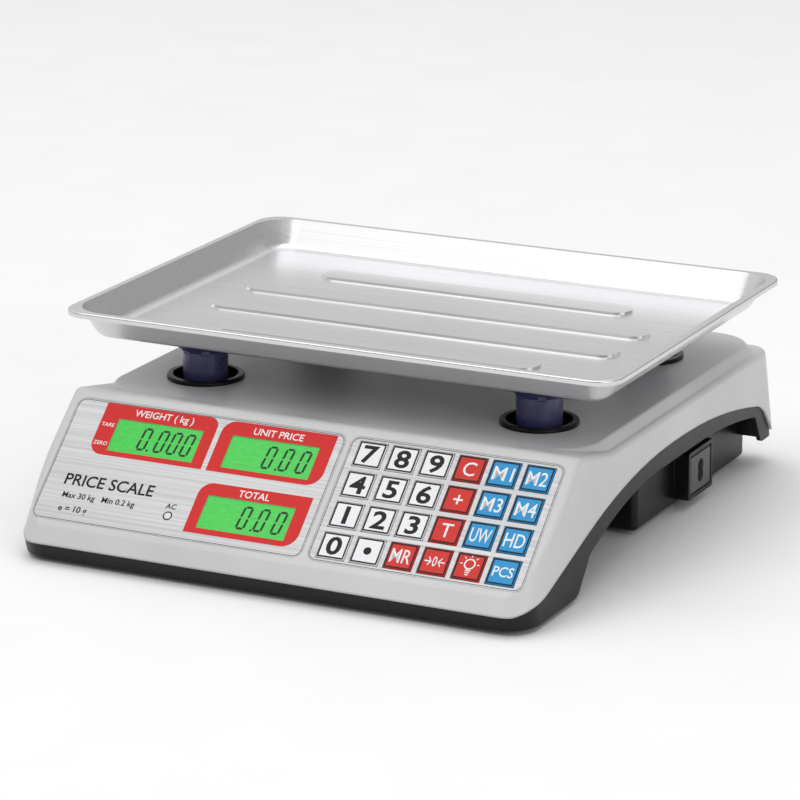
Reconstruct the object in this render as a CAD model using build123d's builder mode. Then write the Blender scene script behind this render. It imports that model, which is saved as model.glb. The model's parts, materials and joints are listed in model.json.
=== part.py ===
"""A counter-top price computing scale: pan, platform, two housings, key panel, displays and insides."""

from build123d import *
import math
import os

os.makedirs("parts", exist_ok=True)

# ---------------------------------------------------------------------------------------------------
# Driving dimensions, in millimetres and degrees. X runs across, Y from the keys to the back, Z up from
# the table, with the origin on the table under the middle of the body.
# ---------------------------------------------------------------------------------------------------

# Weighing pan, a stainless pressing
pan_width = 340.0
pan_depth = 252.0
pan_rim_z = 121.0
pan_well = 16.0
pan_lean = 11.0
pan_sheet = 1.2
pan_corner = 15.0
pan_bend = 6.0
pan_hem = 3.0
rib_width = 19.0
rib_rise = 1.4
rib_pitch = 43.0
long_rib = 258.0
short_rib = 200.0
locator_radius = 4.0
locator_length = 6.0

# Body, the two housings together
body_width = 311.0
body_length = 360.0
side_draft = 1.6
wall = 2.5
skirt_z = 3.0
front_corner_radius = 18.0
rear_corner_radius = 12.0
top_edge_radius = 3.5

# Deck, ledge round it and the brow in front of it
deck_z = 77.3
ledge_drop = 5.3
brow_rise = 3.0
brow_run = 42.0
deck_side_margin = 6.8
deck_front_margin = 15.0
deck_rear_margin = 14.0
deck_corner = 26.0
deck_edge_radius = 2.0
shoulder_run = 3.8
rear_lean = 11.2

# Front panel and nose
panel_tilt = 42.35
nose_z = 20.3
nose_run = 6.1
label_thickness = 0.5
label_recess = 0.6
label_gap = 0.25
label_corner = 5.5

# Seam between the housings, which is also the arch over each side
seam_front_z = 11.0
seam_rear_z = 19.5
arch_top_z = 54.6
arch_slope = 17.8
arch_fall_run = 67.5
arch_fall = 15.6
arch_tail_run = 25.0
arch_heel_run = 8.8
band_height = 11.6
foot_length = 69.0
riser_run = 16.0
riser_height = 19.5
rear_leg_z = 16.5
rear_leg_length = 24.0
leg_lead = 10.0
leg_fall = 8.5
floor_recess = 2.0

# Tray under the middle of the body
tray_side_inset = 15.5
tray_front_gap = 21.5
tray_rear_gap = 4.0
tray_corner = 12.0
tray_edge_radius = 2.5

# Posts that carry the pan, and the collars round them
post_side_margin = 44.4
post_front_margin = 44.1
post_rear_margin = 66.1
post_radius = 13.0
flange_radius = 21.5
flange_height = 2.6
flare_height = 7.5
collar_clearance = 5.75
collar_wall = 1.9
collar_brim = 3.4
collar_rise = 2.4
collar_depth = 9.0

# Platform frame and load cell
frame_gap = 10.8
frame_thickness = 6.0
frame_arm_width = 26.0
cell_length = 130.0
cell_width = 30.0
cell_height = 22.0
cell_spacer = 2.0
cell_end = 30.0
bolt_radius = 3.0
bolt_spacing = 15.0

# Keys
key_columns = 6
key_rows = 4
key_pitch_x = 19.9
key_pitch_y = 19.3
key_hole_x = 17.2
key_hole_y = 16.6
key_gap = 0.45
key_proud = 0.5
key_travel = 0.5
key_lip = 0.8
key_lip_thickness = 1.0
key_stem = 1.4

# Displays
window_width = 53.8
window_height = 20.8
window_pitch_x = 72.0
window_pitch_y = 38.9
lcd_border = 3.0
lcd_thickness = 7.0
glass_step = 1.2
board_thickness = 1.6

# Fits
slip = 0.3
screw_slip = 0.1

# ---------------------------------------------------------------------------------------------------
# Places worked out from the driving dimensions
# ---------------------------------------------------------------------------------------------------

half_width = body_width / 2
front_y = -body_length / 2
rear_y = body_length / 2
ledge_z = deck_z - ledge_drop
ridge_z = deck_z + brow_rise
nose_y = front_y + nose_run
tilt = math.radians(panel_tilt)
ridge_y = nose_y + (ridge_z - nose_z) / math.tan(tilt)
panel_plane = Plane(
    origin=(0, ridge_y, ridge_z), x_dir=(1, 0, 0), z_dir=(0, -math.sin(tilt), math.cos(tilt))
)
panel_normal = Axis(panel_plane.origin, panel_plane.z_dir)
rear_top_y = rear_y - rear_lean
rear_angle = math.atan2(rear_lean, ledge_z - rear_leg_z)

deck_half_width = half_width - deck_side_margin
deck_front_y = ridge_y + deck_front_margin
deck_rear_y = rear_y - deck_rear_margin
post_x = deck_half_width - post_side_margin
post_front_y = deck_front_y + post_front_margin
post_rear_y = deck_rear_y - post_rear_margin
pan_y = (post_front_y + post_rear_y) / 2
post_places = {
    "front_left": (-post_x, post_front_y),
    "front_right": (post_x, post_front_y),
    "rear_left": (-post_x, post_rear_y),
    "rear_right": (post_x, post_rear_y),
}
pan_floor_z = pan_rim_z - pan_well
pan_base_z = pan_floor_z - pan_sheet
collar_bore = post_radius + collar_clearance
collar_outer = collar_bore + collar_wall

frame_top_z = deck_z - wall - frame_gap
frame_base_z = frame_top_z - frame_thickness
cell_top_z = frame_base_z - cell_spacer
cell_base_z = cell_top_z - cell_height

tray_half_width = half_width - tray_side_inset
tray_front_y = pan_y - tray_front_gap
tray_rear_y = rear_y - tray_rear_gap
tray_floor_z = skirt_z + wall
foot_floor_z = skirt_z + floor_recess


# ---------------------------------------------------------------------------------------------------
# Shapes that several pieces share
# ---------------------------------------------------------------------------------------------------


def rounding(level_run, sloping_run, turn):
    """Largest easy radius between a level run that has a corner at each end and a sloping one."""
    return min(0.48 * level_run, 0.85 * sloping_run) / math.tan(turn / 2)


def seam_line():
    """Points and radii of the seam in side view, from front to back."""
    rise_turn = math.radians(arch_slope)
    fall_turn = math.atan2(arch_fall, arch_fall_run)
    rise_y = front_y + 2 + (arch_top_z - seam_front_z) / math.tan(rise_turn)
    fall_y = rear_y - arch_tail_run - arch_fall_run
    points = [
        (front_y - 40, seam_front_z),
        (front_y + 2, seam_front_z),
        (rise_y, arch_top_z),
        (fall_y, arch_top_z),
        (rear_y - arch_tail_run, arch_top_z - arch_fall),
        (rear_y - arch_heel_run, seam_rear_z),
        (rear_y + 40, seam_rear_z),
    ]
    radii = (
        6.0,
        rounding(fall_y - rise_y, rise_y - front_y, rise_turn),
        rounding(fall_y - rise_y, arch_fall_run, fall_turn),
        28.0,
        6.0,
    )
    return points, radii


def under_line():
    """Points and radii of the body's lower edge in side view, from front to back."""
    foot_y = front_y + foot_length
    riser_y = foot_y + riser_run
    band_top = arch_top_z - band_height
    rise_turn = math.radians(arch_slope + 3)
    rise_y = riser_y + (band_top - skirt_z - riser_height) / math.tan(rise_turn)
    fall_y = rear_y - arch_tail_run - arch_fall_run + band_height
    leg_y = rear_y - rear_leg_length
    fall_run = leg_y - leg_lead - fall_y
    points = [
        (front_y - 40, skirt_z),
        (foot_y, skirt_z),
        (riser_y, skirt_z + riser_height),
        (rise_y, band_top),
        (fall_y, band_top),
        (leg_y - leg_lead, band_top - leg_fall),
        (leg_y, rear_leg_z),
        (rear_y + 40, rear_leg_z),
    ]
    radii = (
        10.0,
        8.0,
        rounding(fall_y - rise_y, rise_y - riser_y, rise_turn),
        rounding(fall_y - rise_y, fall_run, math.atan2(leg_fall, fall_run)),
        5.0,
        4.0,
    )
    return points, radii


def region_above(line, lift=0.0):
    """A wide solid that fills the space above a side-view line, raised square to it by lift."""
    points, radii = line
    with BuildPart() as region:
        with BuildSketch(Plane.YZ) as outline:
            with BuildLine():
                edge = FilletPolyline(*points, radius=radii)
                Polyline(edge @ 1, (points[-1][0], 200), (points[0][0], 200), edge @ 0)
            make_face()
            if lift:
                offset(amount=-lift, kind=Kind.INTERSECTION)
        extrude(amount=body_width, both=True)
    return region.part


def width_slab(inset, draft):
    """A slab as wide as the body at its ridge, spreading downwards by the draft angle."""
    foot = half_width + ridge_z * math.tan(math.radians(draft)) - inset
    with BuildPart() as slab:
        with BuildSketch():
            Rectangle(2 * foot, 3 * body_length)
        extrude(amount=ridge_z + 20, taper=draft)
    return slab.part


def rounded_block(outline, inset, draft, front_radius, rear_radius):
    """A side-view outline made into a block with rounded upright corners."""
    with BuildPart() as block:
        with BuildSketch(Plane.YZ):
            add(outline)
            if inset:
                offset(amount=-inset, kind=Kind.INTERSECTION)
        extrude(amount=body_width, both=True)
        add(width_slab(inset, draft), mode=Mode.INTERSECT)
        for low, high, radius in ((2 * front_y, 0, front_radius), (0, 2 * rear_y, rear_radius)):
            uprights = block.edges().filter_by(is_upright).filter_by_position(Axis.Y, low, high)
            fillet(uprights, radius - inset)
    return block.part


def is_upright(edge):
    """True for the straight corner edges between a side and the front or back of a block."""
    way = edge.tangent_at(0.5)
    return edge.geom_type == GeomType.LINE and abs(way.X) < 0.2 and abs(way.Z) > 0.7


def upper_block(inset):
    """The upper housing's outer form, or its hollow when inset, closed down to the table."""
    nose_slope = (nose_z - seam_front_z) / nose_run
    low_front_y = front_y - seam_front_z / nose_slope
    low_rear_y = rear_y + rear_leg_z * math.tan(rear_angle)
    with BuildSketch() as outline:
        with BuildLine():
            edge = FilletPolyline(
                (low_front_y, 0),
                (nose_y, nose_z),
                (ridge_y, ridge_z),
                (ridge_y + brow_run, ledge_z),
                (rear_top_y, ledge_z),
                (low_rear_y, 0),
                radius=(0, 5.0, 40.0, 0),
            )
            Line(edge @ 1, edge @ 0)
        make_face()
    with BuildPart() as block:
        add(rounded_block(outline.sketch, inset, side_draft, front_corner_radius, rear_corner_radius))
        rims = block.edges().filter_by(Axis.X).filter_by_position(Axis.Z, nose_z - 10, ridge_z)
        ends = rims.sort_by(Axis.Y)
        fillet([ends[0], ends[-1]], max(top_edge_radius - inset, 0.6))
    return block.part


def deck_block(inset):
    """The raised deck with its sloping shoulders, or its hollow when inset."""
    sink = ledge_drop + 2
    spread = sink * shoulder_run / ledge_drop
    middle_y = (deck_front_y + deck_rear_y) / 2
    with BuildPart() as block:
        with BuildSketch(Plane((0, middle_y, deck_z - inset - sink))):
            RectangleRounded(
                2 * (deck_half_width + spread - inset),
                deck_rear_y - deck_front_y + 2 * (spread - inset),
                deck_corner + spread - inset,
            )
        extrude(amount=sink, taper=math.degrees(math.atan2(spread, sink)))
        fillet(block.edges().group_by(Axis.Z)[-1], max(deck_edge_radius - inset, 0.5))
    return block.part


def plane_posts(plane, radius, bottom, top, places):
    """Round posts square to a plane, from one depth under it to another."""
    with BuildPart() as posts:
        with BuildSketch(plane.offset(-bottom)):
            with Locations(*places):
                Circle(radius)
        extrude(amount=bottom - top)
    return posts.part


# ---------------------------------------------------------------------------------------------------
# Places on the front panel, measured across from its middle and down from its top edge
# ---------------------------------------------------------------------------------------------------

panel_side_margin = 6.2
label_top = 6.0
label_height = 79.0
key_label_margin = 5.0
label_spacing = 3.5

key_field_x = key_columns * key_pitch_x - (key_pitch_x - key_hole_x)
keypad_width = key_field_x + 2 * key_label_margin
keypad_right = half_width - panel_side_margin
keypad_left = keypad_right - keypad_width
keypad_middle = (keypad_left + keypad_right) / 2
label_middle_down = label_top + label_height / 2
display_left = panel_side_margin - half_width
display_right = keypad_left - label_spacing
display_width = display_right - display_left
display_middle = (display_left + display_right) / 2

window_right_margin = 13.3
window_top_margin = 20.8
window_right = display_right - window_right_margin - window_width / 2
window_top = label_top + window_top_margin
windows = {
    "lcd_weight": (window_right - window_pitch_x, -window_top),
    "lcd_unit_price": (window_right, -window_top),
    "lcd_total": (window_right, -window_top - window_pitch_y),
}
lamp_place = (window_right - 46.0, -window_top - 45.0)
lamp_radius = 2.4
key_places = [
    (keypad_middle + (column - (key_columns - 1) / 2) * key_pitch_x,
     -label_middle_down + ((key_rows - 1) / 2 - row) * key_pitch_y)
    for row in range(key_rows)
    for column in range(key_columns)
]
key_names = (
    "7", "8", "9", "clear", "m1", "m2",
    "4", "5", "6", "add", "m3", "m4",
    "1", "2", "3", "tare", "unit_weight", "steady",
    "0", "dot", "store", "zero", "light", "count",
)
lcd_back = label_recess + lcd_thickness
lcd_width = window_width + 2 * lcd_border
lcd_height = window_height + 2 * lcd_border
display_board_places = [
    (across, -down)
    for across in (display_left + 12, display_right - 6)
    for down in (label_top + 6, label_top + label_height - 8)
]
key_stem_end = wall + slip + key_lip_thickness + key_stem
key_board_top = key_stem_end + key_travel + 0.5
board_post_edge = 1.75
key_board_places = [
    (keypad_middle + side * (keypad_width / 2 - board_post_edge), -label_middle_down + up * 34)
    for side in (-1, 1)
    for up in (-1, 1)
]

# Rear face: a plane that leans with it, seen from behind
rear_middle_z = (ledge_z + seam_rear_z) / 2 + 1
rear_plane = Plane(
    origin=(0, rear_top_y + (ledge_z - rear_middle_z) * math.tan(rear_angle), rear_middle_z),
    x_dir=(-1, 0, 0),
    z_dir=(0, math.cos(rear_angle), math.sin(rear_angle)),
)
rear_label_width = 226.0
rear_label_height = 33.0
rear_window_pitch = 71.0
rear_window_places = [(-rear_window_pitch, 0), (0, 0), (rear_window_pitch, 0)]
rear_board_post_x = rear_label_width / 2 - 5
rear_board_places = [
    (side * rear_board_post_x, up * lcd_height / 2) for side in (-1, 1) for up in (-1, 1)
]

# Screws that join the housings, driven upwards from the base
screw_base_z = foot_floor_z
screw_seat_z = screw_base_z + wall
front_screw_y = front_y + 36.0
front_screw_x = half_width - 8.0
front_post_top = 30.0
rear_screw_x = tray_half_width - 9.5
rear_screw_y = rear_y - 20.0
screw_places = [(side * front_screw_x, front_screw_y) for side in (-1, 1)]
screw_places += [(side * rear_screw_x, rear_screw_y) for side in (-1, 1)]
screw_radius = 1.9
screw_length = 12.0
screw_head_radius = 3.4
screw_head_height = 1.7
screw_post_radius = 4.0
screw_boss_radius = 6.0

# Levelling feet
foot_side_inset = 38.0
foot_front_y = front_y + 31.0
foot_rear_y = rear_y - 36.0
foot_places = {
    "front_left": (-half_width + foot_side_inset, foot_front_y),
    "front_right": (half_width - foot_side_inset, foot_front_y),
    "rear_left": (-half_width + foot_side_inset + 4, foot_rear_y),
    "rear_right": (half_width - foot_side_inset - 4, foot_rear_y),
}
foot_radius = 12.0
foot_well_radius = 14.0
foot_pad_height = foot_floor_z - slip
foot_stud_radius = 4.0
foot_stud_top = 17.0
foot_boss_radius = 7.5
foot_boss_top = 18.0

# Side plates on the tray: mains inlet on the right, switch on the left
plate_reach = 9.2
plate_length = 36.0
plate_height = 28.5
plate_base_z = 6.4
plate_frame = 2.6
plate_groove = 1.1
plate_y = tray_front_y + 73.6
plate_z = plate_base_z + plate_height / 2
plate_face_x = tray_half_width + plate_reach
insert_length = plate_length - 2 * plate_frame - plate_groove - slip
insert_height = plate_height - 2 * plate_frame - plate_groove - slip
insert_y = plate_y + (plate_groove - slip) / 2
insert_z = plate_z - (plate_groove - slip) / 2
insert_face_x = plate_face_x - 0.3
insert_back_x = tray_half_width - wall - 6.0
insert_lip = 2.0
inlet_lobe_radius = 4.1
inlet_lobe_pitch = 5.6
inlet_depth = 14.0
pin_radius = 1.1
pin_setback = 6.0
pin_tail = 4.0
rocker_length = 19.0
rocker_height = 11.0
rocker_tilt = 10.0
rocker_clearance = 1.4
rocker_pivot_depth = 4.5
axle_radius = 1.5

# Battery and its door in the tray floor
battery_length = 100.0
battery_width = 70.0
battery_height = 47.0
battery_x = -(half_width - foot_side_inset - 4 - foot_well_radius - wall - 3) + battery_length / 2
battery_y = pan_y + cell_width / 2 + 8.0 + battery_width / 2
battery_gap = 1.0
battery_cap = 3.0
battery_tab_x = 0.35 * battery_length
battery_tab = (0.8, 6.3)
door_rim = 5.0
door_thickness = 1.3
door_base_z = skirt_z
battery_base_z = door_base_z + door_thickness

# Transformer and main board
transformer_x = battery_x + battery_length / 2 + 36.0
transformer_y = battery_y - 4.0
core_length = 42.0
core_width = 20.0
core_height = 35.0
winding_length = 27.0
winding_width = 37.0
winding_height = 21.0
winding_lift = (core_height - winding_height) / 2
strap_length = 62.0
strap_thickness = 1.2
strap_hole_x = 26.0
strap_hole_radius = 1.8
board_y = front_y + 42.0
board_length = 150.0
board_width = 44.0
board_lift = 4.0
board_post_radius = 3.5
chip_height = 3.0
chips = [((-20, 4), (16, 10)), ((20, 6), (10, 10))]
plug_row_y = 16.0
plug_row_x = (-60, -40, 40, 60)
plug_size = (12.0, 6.0)
board_post_places = [
    (side * (board_length / 2 - 5), board_y + end * (board_width / 2 - 5))
    for side in (-1, 1)
    for end in (-1, 1)
]

# Load cell mount and platform frame
cell_fixed_x = -cell_length / 2 + cell_end / 2
cell_free_x = -cell_fixed_x
mount_flange = 4.0
mount_flange_reach = 12.0
bolt_head_radius = 5.0
bolt_head_height = 5.0
bolt_bite = 12.0
bolt_ledge = 10.0
bolt_access_radius = 5.5
fixed_bolt_places = [(cell_fixed_x + end * bolt_spacing / 2, pan_y) for end in (-1, 1)]
free_bolt_places = [(cell_free_x + end * bolt_spacing / 2, pan_y) for end in (-1, 1)]
mount_screw_places = [
    (cell_fixed_x + end * (cell_end + mount_flange_reach) / 2, pan_y) for end in (-1, 1)
]
frame_pad_radius = 16.0
spigot_radius = 5.0
spigot_length = 5.0

# ---------------------------------------------------------------------------------------------------
# Weighing pan
# ---------------------------------------------------------------------------------------------------

pan_plane = Plane(origin=(0, pan_y, pan_base_z))
pan_height = pan_well + pan_sheet
pan_lean_angle = math.degrees(math.atan2(pan_lean, pan_height))
pan_foot_x = pan_width - 2 * (pan_hem + pan_lean)
pan_foot_y = pan_depth - 2 * (pan_hem + pan_lean)
sheet_step = pan_sheet / math.cos(math.radians(pan_lean_angle))
sheet_step -= pan_sheet * math.tan(math.radians(pan_lean_angle))
rib_places = [
    ((0, (row - 1.5) * rib_pitch), short_rib if row in (0, 3) else long_rib) for row in range(4)
]

with BuildPart() as pan_hollow:
    with BuildSketch(pan_plane.offset(pan_sheet)):
        RectangleRounded(pan_foot_x - 2 * sheet_step, pan_foot_y - 2 * sheet_step, pan_corner - 5)
    extrude(amount=pan_well + 3, taper=-pan_lean_angle)
    fillet(pan_hollow.edges().group_by(Axis.Z)[0], pan_bend)

with BuildPart() as pan_hem_hollow:
    with BuildSketch(pan_plane.offset(pan_height - pan_hem - 0.1)):
        RectangleRounded(pan_width - 2 * pan_sheet, pan_depth - 2 * pan_sheet, pan_corner - pan_sheet)
    extrude(amount=pan_hem - pan_sheet + 0.1)
    with BuildSketch(pan_plane):
        RectangleRounded(pan_foot_x, pan_foot_y, pan_corner - 4)
    extrude(amount=pan_height, taper=-pan_lean_angle, mode=Mode.SUBTRACT)


def pan_rib_set(start, rise, trim):
    """The raised ribs, or the hollows pressed up under them, as tapered round-ended bars."""
    with BuildPart() as ribs:
        for place, length in rib_places:
            with BuildSketch(pan_plane.offset(start)):
                with Locations(place):
                    SlotOverall(length - 2 * trim, rib_width - 2 * trim)
            extrude(amount=rise, taper=25)
    return ribs.part


with BuildPart() as pan_locators:
    with BuildSketch(pan_plane.offset(-locator_length)):
        for x, y in post_places.values():
            with Locations((x, y - pan_y)):
                Circle(locator_radius)
    extrude(amount=locator_length + pan_sheet / 2)
    fillet(pan_locators.edges().group_by(Axis.Z)[0], 1.0)

with BuildPart() as weighing_pan:
    with BuildSketch(pan_plane):
        RectangleRounded(pan_foot_x, pan_foot_y, pan_corner - 4)
    extrude(amount=pan_height, taper=-pan_lean_angle)
    fillet(weighing_pan.edges().group_by(Axis.Z)[0], pan_bend + pan_sheet)
    with BuildSketch(pan_plane.offset(pan_height - pan_hem)):
        RectangleRounded(pan_width, pan_depth, pan_corner)
    extrude(amount=pan_hem)
    fillet(weighing_pan.edges().group_by(Axis.Z)[-1], 1.0)
    add(pan_hollow.part, mode=Mode.SUBTRACT)
    add(pan_hem_hollow.part, mode=Mode.SUBTRACT)
    add(pan_rib_set(pan_sheet - 0.2, rib_rise + 0.2, 0))
    add(pan_rib_set(-0.1, rib_rise + 0.1, pan_sheet), mode=Mode.SUBTRACT)
    add(pan_locators.part)
weighing_pan.part.label = "weighing_pan"
export_step(weighing_pan.part, "parts/weighing_pan.step")

# ---------------------------------------------------------------------------------------------------
# Posts and collars
# ---------------------------------------------------------------------------------------------------


def pan_post(name, x, y):
    """A plastic post: spigot, plain stem, flared flange and a socket for the pan's locator."""
    flare_z = pan_base_z - flange_height - flare_height
    socket_z = pan_base_z - locator_length - 1
    with BuildPart() as post:
        with BuildSketch(Plane.XZ):
            with BuildLine():
                Polyline(
                    (0, frame_top_z - spigot_length),
                    (spigot_radius, frame_top_z - spigot_length),
                    (spigot_radius, frame_top_z),
                    (post_radius, frame_top_z),
                    (post_radius, flare_z),
                    (flange_radius, pan_base_z - flange_height),
                    (flange_radius, pan_base_z),
                    (locator_radius + slip, pan_base_z),
                    (locator_radius + slip, socket_z),
                    (0, socket_z),
                    close=True,
                )
            make_face()
        revolve(axis=Axis.Z)
        with BuildSketch(Plane.XY.offset(flare_z - 1)):
            with PolarLocations(post_radius + 1.2, 6):
                Rectangle(3.6, 5.0)
        extrude(amount=3.5, mode=Mode.SUBTRACT)
    placed = post.part.moved(Location((x, y, 0)))
    placed.label = name
    export_step(placed, f"parts/{name}.step")


for corner, (corner_x, corner_y) in post_places.items():
    pan_post(f"pan_post_{corner}", corner_x, corner_y)

with BuildPart() as post_collars:
    with BuildSketch(Plane.XY.offset(deck_z)):
        with Locations(*post_places.values()):
            Circle(collar_outer + collar_brim - collar_wall)
    extrude(amount=collar_rise)
    fillet(post_collars.edges().group_by(Axis.Z)[-1], 0.9)
    with BuildSketch(Plane.XY.offset(deck_z - collar_depth)):
        with Locations(*post_places.values()):
            Circle(collar_outer)
    extrude(amount=collar_depth)
    with BuildSketch(Plane.XY.offset(deck_z - collar_depth - 1)):
        with Locations(*post_places.values()):
            Circle(collar_bore)
    extrude(amount=collar_depth + collar_rise + 2, mode=Mode.SUBTRACT)
    with BuildSketch(Plane.XY.offset(deck_z - collar_depth)):
        for x, y in post_places.values():
            with Locations((x, y)):
                with PolarLocations(collar_bore - 1.2, 12):
                    Rectangle(3.0, 1.4)
    extrude(amount=collar_depth - 1.5)
post_collars.part.label = "post_collars"
export_step(post_collars.part, "parts/post_collars.step")

# ---------------------------------------------------------------------------------------------------
# Upper housing
# ---------------------------------------------------------------------------------------------------

upper_outer = upper_block(0)
above_seam = region_above(seam_line())

with BuildPart() as upper_housing:
    add(upper_outer)
    add(deck_block(0))
    add(upper_block(wall), mode=Mode.SUBTRACT)
    add(deck_block(wall), mode=Mode.SUBTRACT)
    add(above_seam, mode=Mode.INTERSECT)
    add(plane_posts(panel_plane, 3.0, lcd_back, wall - 0.5, display_board_places))
    add(plane_posts(panel_plane, 2.0, key_board_top, wall - 0.5, key_board_places))
    add(plane_posts(rear_plane, 3.0, lcd_back, wall - 0.5, rear_board_places))
    with BuildSketch(Plane.XY.offset(screw_seat_z)):
        with Locations(*screw_places[:2]):
            Circle(screw_post_radius)
    extrude(amount=front_post_top - screw_seat_z)
    with BuildSketch(Plane.XY.offset(front_post_top - 6)):
        for side in (-1, 1):
            with Locations((side * (front_screw_x + half_width) / 2, front_screw_y)):
                Rectangle(half_width - front_screw_x, 2.5)
    extrude(amount=6)
    with BuildSketch(Plane.XY.offset(screw_seat_z)):
        with Locations(*screw_places[2:]):
            Circle(screw_post_radius)
    extrude(amount=deck_z - wall / 2 - screw_seat_z)
    with BuildSketch(Plane.XY.offset(screw_seat_z)):
        with Locations(*screw_places):
            Circle(screw_radius + screw_slip)
    extrude(amount=screw_length, mode=Mode.SUBTRACT)
    with BuildSketch(Plane.XY.offset(deck_z - wall - 1)):
        with Locations(*post_places.values()):
            Circle(collar_outer + screw_slip)
    extrude(amount=wall + 2, mode=Mode.SUBTRACT)
    with BuildSketch(panel_plane.offset(-label_recess)):
        with Locations((display_middle, -label_middle_down)):
            RectangleRounded(display_width, label_height, label_corner)
        with Locations((keypad_middle, -label_middle_down)):
            RectangleRounded(keypad_width, label_height, label_corner)
    extrude(amount=label_recess + 1, mode=Mode.SUBTRACT)
    with BuildSketch(panel_plane.offset(-wall - 1)):
        with Locations(*windows.values()):
            Rectangle(lcd_width + 2 * slip, lcd_height + 2 * slip)
        with Locations(*key_places):
            Rectangle(key_hole_x, key_hole_y)
        with Locations(lamp_place):
            Circle(lamp_radius + slip)
    extrude(amount=wall + 2, mode=Mode.SUBTRACT)
    with BuildSketch(rear_plane.offset(-label_recess)):
        RectangleRounded(rear_label_width, rear_label_height, label_corner)
    extrude(amount=label_recess + 1, mode=Mode.SUBTRACT)
    with BuildSketch(rear_plane.offset(-wall - 1)):
        with Locations(*rear_window_places):
            Rectangle(lcd_width + 2 * slip, lcd_height + 2 * slip)
    extrude(amount=wall + 2, mode=Mode.SUBTRACT)
upper_housing.part.label = "upper_housing"
export_step(upper_housing.part, "parts/upper_housing.step")

# ---------------------------------------------------------------------------------------------------
# Lower housing: arched sides, recessed floor, tray, foot bosses and side plates
# ---------------------------------------------------------------------------------------------------


def lower_block(inset):
    """The lower housing's outer form, or its hollow when inset, from under the table line up."""
    skirt_lean = 2.5
    skirt_slope = skirt_lean / (seam_front_z - skirt_z)
    top = arch_top_z + 10
    with BuildSketch() as outline:
        with BuildLine():
            Polyline(
                (front_y + skirt_lean + skirt_z * skirt_slope, 0),
                (front_y + skirt_lean + (skirt_z - top) * skirt_slope, top),
                (rear_y - (top - rear_leg_z) * math.tan(rear_angle), top),
                (rear_y + rear_leg_z * math.tan(rear_angle), 0),
                close=True,
            )
        make_face()
    return rounded_block(outline.sketch, inset, 0, front_corner_radius, rear_corner_radius)


def tray_block(inset, base_z):
    """The tray's box in plan, from a base height up past the arch."""
    front = tray_front_y + inset
    back = tray_rear_y - inset
    with BuildPart() as box:
        with BuildSketch(Plane((0, (front + back) / 2, base_z))):
            Rectangle(2 * (tray_half_width - inset), back - front)
        extrude(amount=arch_top_z + 20)
        uprights = box.edges().filter_by(Axis.Z).sort_by(Axis.Y)
        fillet(uprights[2:], tray_corner - inset)
        uprights = box.edges().filter_by(Axis.Z).sort_by(Axis.Y)
        fillet(uprights[:2], 4.0 - inset / 2)
        fillet(box.faces().sort_by(Axis.Z)[0].edges(), max(tray_edge_radius - inset, 0.5))
    return box.part


above_under = region_above(under_line())
floor_under = region_above(under_line(), floor_recess)
floor_over = region_above(under_line(), floor_recess + wall)
lower_hollow = lower_block(wall)

with BuildPart() as lower_shell:
    add(lower_block(0))
    add(above_seam, mode=Mode.SUBTRACT)
    add(above_under, mode=Mode.INTERSECT)

with BuildPart() as hollow_over_floor:
    add(lower_hollow)
    add(floor_over, mode=Mode.INTERSECT)

with BuildPart() as hollow_under_floor:
    add(lower_hollow)
    add(floor_under, mode=Mode.SUBTRACT)

with BuildPart() as tray_shell:
    add(tray_block(0, skirt_z))
    add(floor_over, mode=Mode.SUBTRACT)

with BuildPart() as side_plates:
    with BuildSketch(Plane.XY.offset(plate_base_z)):
        for side in (-1, 1):
            with Locations((side * (plate_face_x + tray_half_width - wall) / 2, plate_y)):
                Rectangle(plate_reach + wall, plate_length)
    extrude(amount=plate_height)
    fillet(side_plates.edges().filter_by(Axis.X), 1.5)

with BuildPart() as lower_housing:
    add(lower_shell.part)
    add(hollow_over_floor.part, mode=Mode.SUBTRACT)
    add(hollow_under_floor.part, mode=Mode.SUBTRACT)
    add(tray_shell.part)
    add(tray_block(wall, tray_floor_z), mode=Mode.SUBTRACT)
    add(side_plates.part)
    with BuildSketch(Plane.XY.offset(plate_z)):
        with Locations((0, plate_y)):
            Rectangle(3 * tray_half_width, plate_length - 2 * plate_frame)
    extrude(amount=plate_height / 2 - plate_frame, both=True, mode=Mode.SUBTRACT)
    with BuildSketch(Plane.XY.offset(screw_base_z)):
        with Locations(*foot_places.values()):
            Circle(foot_well_radius + wall)
        with Locations(*screw_places):
            Circle(screw_boss_radius)
    extrude(amount=wall)
    with BuildSketch(Plane.XY.offset(screw_seat_z)):
        with Locations(*foot_places.values()):
            Circle(foot_boss_radius)
    extrude(amount=foot_boss_top - screw_seat_z)
    with BuildSketch(Plane.XY.offset(screw_seat_z)):
        with Locations(*board_post_places):
            Circle(board_post_radius)
    extrude(amount=board_lift)
    with BuildSketch():
        with Locations(*foot_places.values()):
            Circle(foot_well_radius)
        with Locations(*screw_places):
            Circle(screw_head_radius + slip)
    extrude(amount=screw_base_z, mode=Mode.SUBTRACT)
    with BuildSketch():
        with Locations(*foot_places.values()):
            Circle(foot_stud_radius + screw_slip)
    extrude(amount=foot_boss_top + 1, mode=Mode.SUBTRACT)
    with BuildSketch():
        with Locations(*screw_places):
            Circle(screw_radius + screw_slip)
    extrude(amount=screw_seat_z + 1, mode=Mode.SUBTRACT)
    with BuildSketch():
        with Locations(*fixed_bolt_places):
            Circle(bolt_access_radius)
        with Locations(*mount_screw_places):
            Circle(screw_radius + screw_slip)
    extrude(amount=tray_floor_z + 1, mode=Mode.SUBTRACT)
    with BuildSketch():
        with Locations((battery_x, battery_y)):
            Rectangle(battery_length + 2 * battery_gap, battery_width + 2 * battery_gap)
    extrude(amount=tray_floor_z + 1, mode=Mode.SUBTRACT)
    with BuildSketch():
        with Locations((battery_x, battery_y)):
            Rectangle(battery_length + 2 * door_rim, battery_width + 2 * door_rim)
    extrude(amount=battery_base_z, mode=Mode.SUBTRACT)
lower_housing.part.label = "lower_housing"
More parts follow.
